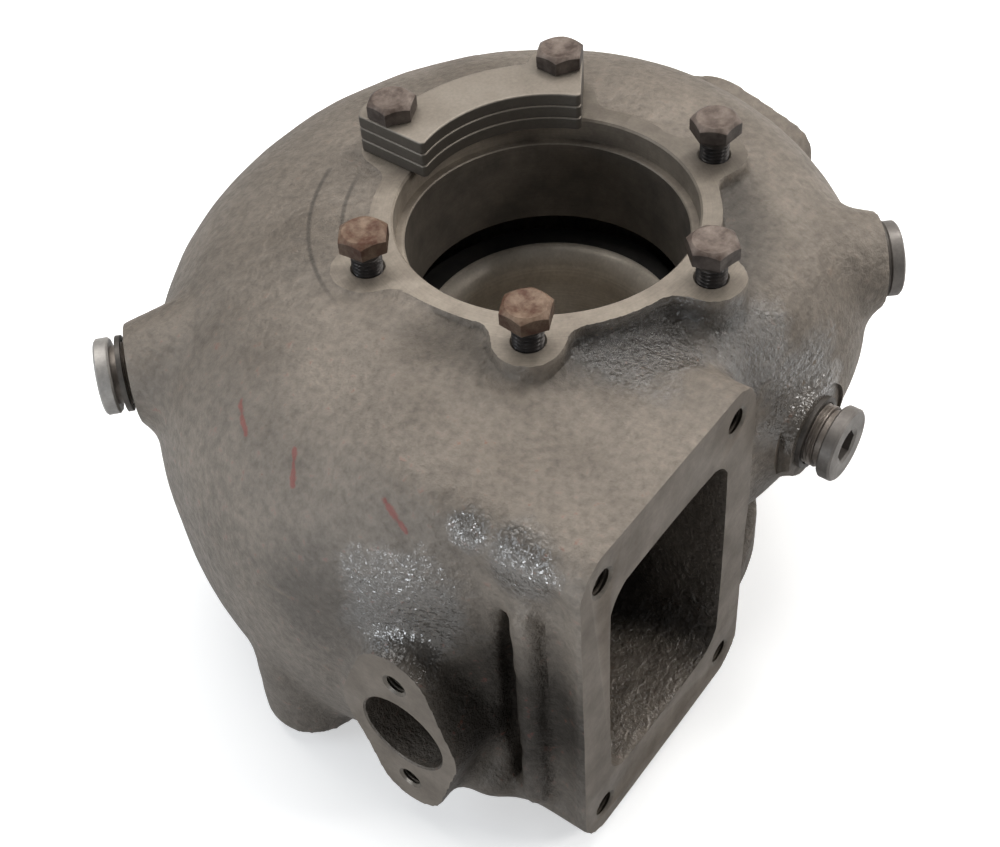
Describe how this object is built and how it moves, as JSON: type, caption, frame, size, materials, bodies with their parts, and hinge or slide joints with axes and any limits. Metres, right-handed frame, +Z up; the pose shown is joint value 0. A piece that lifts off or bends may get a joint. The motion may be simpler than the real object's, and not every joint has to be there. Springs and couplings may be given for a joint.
{
  "type": "turbocharger turbine housing",
  "caption": "Water-cooled turbine housing in cast iron, with a lobed clamp ring round the bearing bore, a rectangular gas inlet, coolant flanges, screw plugs and part-screwed clamp bolts.",
  "frame": {"origin": "on the bearing bore's axis, in the machined face of the clamp ring", "axes": "+Z up along the bearing bore, towards the bearing housing; -Y out of the gas inlet; -X out of the coolant inlet, as the housing stands on its exhaust outlet"},
  "size_m": [0.3262, 0.297, 0.2106],
  "materials": {
    "cast_iron": "sand-cast and used, with an oily film; ring, seat and flange faces machined",
    "plate_steel": "flat stamped steel, dull and lightly browned",
    "bolt_steel": "rust-browned steel",
    "plug_steel": "turned steel, dull grey",
    "ring_steel": "flat sealing ring, dark and dull"
  },
  "bodies": {
    "root": {"turbine_housing": "cast_iron", "clamp_plate_lower": "plate_steel", "clamp_plate_middle": "plate_steel", "clamp_plate_upper": "plate_steel", "clamp_bolt_1": "bolt_steel", "clamp_bolt_2": "bolt_steel", "clamp_bolt_3": "bolt_steel", "clamp_bolt_4": "bolt_steel", "clamp_bolt_5": "bolt_steel", "clamp_bolt_6": "bolt_steel", "screw_plug_left": "plug_steel", "screw_plug_right": "plug_steel", "screw_plug_front": "plug_steel", "sealing_ring_left": "ring_steel", "sealing_ring_right": "ring_steel", "sealing_ring_front": "ring_steel"}
  },
  "joints": []
}
